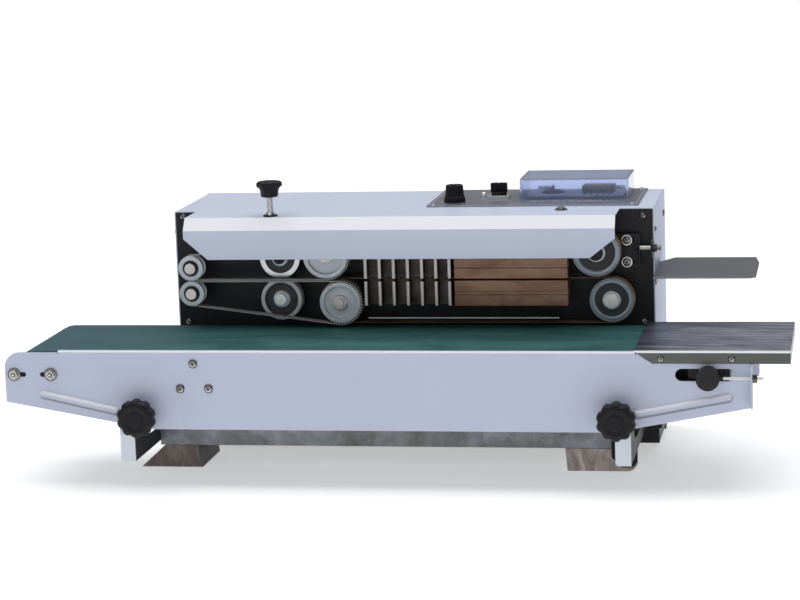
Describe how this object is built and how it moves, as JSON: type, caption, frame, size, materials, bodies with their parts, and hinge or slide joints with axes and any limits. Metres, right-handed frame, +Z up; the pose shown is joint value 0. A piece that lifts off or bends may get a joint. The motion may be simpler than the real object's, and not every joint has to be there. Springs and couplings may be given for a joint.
{
  "type": "continuous band sealer",
  "caption": "Bench-top continuous band sealer: white sealing head with heated bands and wheels over a green belt conveyor of adjustable height, with hand knobs and an infeed tray.",
  "frame": {"origin": "centre of the footprint, on the surface the machine stands on", "axes": "+X along the conveyor towards the infeed tray, +Y from the operator side to the rear, +Z up"},
  "size_m": [0.8336, 0.3564, 0.3135],
  "materials": {
    "white_paint": "powder coat, satin",
    "black_paint": "powder coat, satin",
    "black_plastic": "moulded",
    "black_rubber": "moulded",
    "screw_steel": "bright plated",
    "galvanised_steel": "zinc plated",
    "foot_steel": "worn stainless",
    "control_plate": "brushed, anodised dark",
    "chrome_trim": "polished",
    "motor_metal": "painted casting",
    "circuit_green": "circuit board",
    "heater_brass": "heat tinted",
    "cooler_aluminium": "machined",
    "shaft_steel": "turned",
    "ptfe_band": "coated glass cloth",
    "guide_belt": "toothed",
    "dark_steel": "blackened",
    "chain_steel": "oiled",
    "wheel_aluminium": "turned",
    "silicone_white": "smooth",
    "clear_lid": "clear blue moulding",
    "belt_green": "fabric-faced belt",
    "tray_steel": "rolled stainless",
    "roller_steel": "turned",
    "black_oxide": "black oxide"
  },
  "bodies": {
    "root": {"base_tray": "black_paint", "rubber_feet": "black_rubber", "housing": "white_paint", "rear_cover": "white_paint", "mechanism_panel": "black_paint", "front_cover": "white_paint", "panel_screws": "screw_steel", "cross_bar": "galvanised_steel", "bar_end_block": "black_plastic", "front_feet": "foot_steel", "support_uprights": "white_paint", "support_arms": "black_paint", "control_plate": "control_plate", "temperature_controller": "black_plastic", "switch_bezels": "chrome_trim", "gear_motor": "motor_metal", "fan_frame": "black_plastic", "power_inlet": "black_plastic", "circuit_board": "circuit_green", "lower_heating_block": "heater_brass", "lower_cooling_block": "cooler_aluminium", "mechanism_mounts": "shaft_steel", "guard_strip": "shaft_steel", "seal_bands": "ptfe_band", "guide_belts": "guide_belt", "infeed_plate": "dark_steel", "drive_chain": "chain_steel", "pressure_spring": "shaft_steel"},
    "lower_drive": {"lower_drive_shaft": "shaft_steel", "lower_drive_wheel": "wheel_aluminium"},
    "upper_drive": {"upper_drive_shaft": "shaft_steel", "upper_drive_wheel": "wheel_aluminium"},
    "tension_carriage": {"tension_plate": "dark_steel"},
    "upper_idler": {"upper_idler_wheel": "wheel_aluminium"},
    "lower_idler": {"lower_idler_wheel": "wheel_aluminium"},
    "upper_guide": {"upper_guide_pulley": "wheel_aluminium"},
    "lower_guide": {"lower_guide_pulley": "wheel_aluminium"},
    "press_arm": {"press_arm": "dark_steel"},
    "emboss_wheel": {"emboss_wheel": "wheel_aluminium"},
    "press_roller": {"press_roller": "silicone_white"},
    "upper_heater": {"upper_heating_block": "heater_brass"},
    "upper_cooler": {"upper_cooling_block": "cooler_aluminium"},
    "pressure_knob": {"pressure_knob": "black_plastic"},
    "speed_knob": {"speed_knob": "black_plastic"},
    "selector_knob": {"selector_knob": "black_plastic"},
    "controller_lid": {"controller_lid": "clear_lid"},
    "fan_impeller": {"fan_impeller": "black_plastic"},
    "conveyor": {"conveyor_front_plate": "white_paint", "conveyor_rear_plate": "white_paint", "slider_bed": "galvanised_steel", "conveyor_belt": "belt_green", "infeed_tray": "tray_steel", "conveyor_brackets": "dark_steel", "conveyor_screws": "screw_steel"},
    "left_roller": {"left_roller": "roller_steel"},
    "right_roller_carriage": {"tension_block": "black_oxide"},
    "right_roller": {"right_roller": "roller_steel"},
    "drive_roller": {"drive_roller": "roller_steel"},
    "clamp_knob_left": {"clamp_knob_left": "black_plastic"},
    "clamp_knob_right": {"clamp_knob_right": "black_plastic"}
  },
  "joints": [
    {"name": "lower_drive_spin", "type": "hinge", "parent": "root", "child": "lower_drive", "pos_m": [-0.07575, 0.0198, 0.1775], "axis": [0, 1, 0], "continuous": true},
    {"name": "upper_drive_spin", "type": "hinge", "parent": "root", "child": "upper_drive", "pos_m": [-0.09075, 0.0198, 0.2295], "axis": [0, 1, 0], "continuous": true},
    {"name": "upper_band_tension", "type": "slide", "parent": "root", "child": "tension_carriage", "axis": [1, 0, 0], "range_m": [-0.003, 0]},
    {"name": "upper_idler_spin", "type": "hinge", "parent": "tension_carriage", "child": "upper_idler", "pos_m": [0.20525, 0.0078, 0.2295], "axis": [0, 1, 0], "continuous": true},
    {"name": "lower_idler_spin", "type": "hinge", "parent": "root", "child": "lower_idler", "pos_m": [0.22125, 0.0078, 0.1775], "axis": [0, 1, 0], "continuous": true},
    {"name": "upper_guide_spin", "type": "hinge", "parent": "root", "child": "upper_guide", "pos_m": [-0.24275, -0.0082, 0.2167], "axis": [0, 1, 0], "continuous": true},
    {"name": "lower_guide_spin", "type": "hinge", "parent": "root", "child": "lower_guide", "pos_m": [-0.24275, -0.0082, 0.1883], "axis": [0, 1, 0], "continuous": true},
    {"name": "press_arm_lift", "type": "slide", "parent": "root", "child": "press_arm", "axis": [0, 0, 1], "range_m": [0, 0.003], "stiffness_N_per_m": 1500, "springref_m": -0.002, "deforming": ["pressure_spring"]},
    {"name": "emboss_wheel_spin", "type": "hinge", "parent": "press_arm", "child": "emboss_wheel", "pos_m": [-0.14475, 0.0078, 0.2257], "axis": [0, 1, 0], "continuous": true},
    {"name": "press_roller_spin", "type": "hinge", "parent": "root", "child": "press_roller", "pos_m": [-0.14475, 0.0078, 0.1793], "axis": [0, 1, 0], "continuous": true},
    {"name": "heating_block_float", "type": "slide", "parent": "root", "child": "upper_heater", "axis": [0, 0, 1], "range_m": [0, 0.0015], "stiffness_N_per_m": 2000, "springref_m": -0.001},
    {"name": "cooling_block_float", "type": "slide", "parent": "root", "child": "upper_cooler", "axis": [0, 0, 1], "range_m": [0, 0.0015], "stiffness_N_per_m": 2000, "springref_m": -0.001},
    {"name": "pressure_knob_turn", "type": "hinge", "parent": "root", "child": "pressure_knob", "pos_m": [-0.14875, -0.0182, 0.3], "axis": [0, 0, 1], "range_deg": [-360, 360]},
    {"name": "speed_knob_turn", "type": "hinge", "parent": "root", "child": "speed_knob", "pos_m": [0.04125, 0.0718, 0.285], "axis": [0, 0, -1], "range_deg": [0, 270]},
    {"name": "selector_turn", "type": "hinge", "parent": "root", "child": "selector_knob", "pos_m": [0.08725, 0.1008, 0.285], "axis": [0, 0, -1], "range_deg": [-45, 45]},
    {"name": "controller_lid_hinge", "type": "hinge", "parent": "root", "child": "controller_lid", "pos_m": [0.17375, 0.1602, 0.2795], "axis": [-1, 0, 0], "range_deg": [0, 95]},
    {"name": "fan_spin", "type": "hinge", "parent": "root", "child": "fan_impeller", "pos_m": [0.18325, 0.1598, 0.13], "axis": [0, 1, 0], "continuous": true},
    {"name": "conveyor_height", "type": "slide", "parent": "root", "child": "conveyor", "axis": [0, 0, 1], "range_m": [-0.015, 0], "deforming": ["drive_chain"]},
    {"name": "left_roller_spin", "type": "hinge", "parent": "conveyor", "child": "left_roller", "pos_m": [-0.38575, -0.0702, 0.127], "axis": [0, 1, 0], "continuous": true},
    {"name": "belt_tension", "type": "slide", "parent": "conveyor", "child": "right_roller_carriage", "axis": [1, 0, 0], "range_m": [-0.006, 0]},
    {"name": "right_roller_spin", "type": "hinge", "parent": "right_roller_carriage", "child": "right_roller", "pos_m": [0.33325, -0.0702, 0.127], "axis": [0, 1, 0], "continuous": true},
    {"name": "drive_roller_spin", "type": "hinge", "parent": "conveyor", "child": "drive_roller", "pos_m": [-0.20775, -0.0702, 0.119], "axis": [0, 1, 0], "continuous": true},
    {"name": "clamp_knob_left_turn", "type": "hinge", "parent": "conveyor", "child": "clamp_knob_left", "pos_m": [-0.26775, -0.1602, 0.082], "axis": [0, -1, 0], "range_deg": [0, 360]},
    {"name": "clamp_knob_right_turn", "type": "hinge", "parent": "conveyor", "child": "clamp_knob_right", "pos_m": [0.24025, -0.1602, 0.082], "axis": [0, -1, 0], "range_deg": [0, 360]}
  ],
  "couplings": [
    {"joint": "upper_drive_spin", "follows": "lower_drive_spin", "ratio": -0.90909},
    {"joint": "upper_idler_spin", "follows": "lower_drive_spin", "ratio": -0.90909},
    {"joint": "lower_idler_spin", "follows": "lower_drive_spin", "ratio": 1},
    {"joint": "upper_guide_spin", "follows": "lower_drive_spin", "ratio": -1.7873},
    {"joint": "lower_guide_spin", "follows": "lower_drive_spin", "ratio": 1.8151},
    {"joint": "emboss_wheel_spin", "follows": "lower_drive_spin", "ratio": -1.0783},
    {"joint": "press_roller_spin", "follows": "lower_drive_spin", "ratio": 1.0783},
    {"joint": "drive_roller_spin", "follows": "lower_drive_spin", "ratio": 1.8889},
    {"joint": "left_roller_spin", "follows": "lower_drive_spin", "ratio": 1.1941},
    {"joint": "right_roller_spin", "follows": "lower_drive_spin", "ratio": 1.1941}
  ]
}
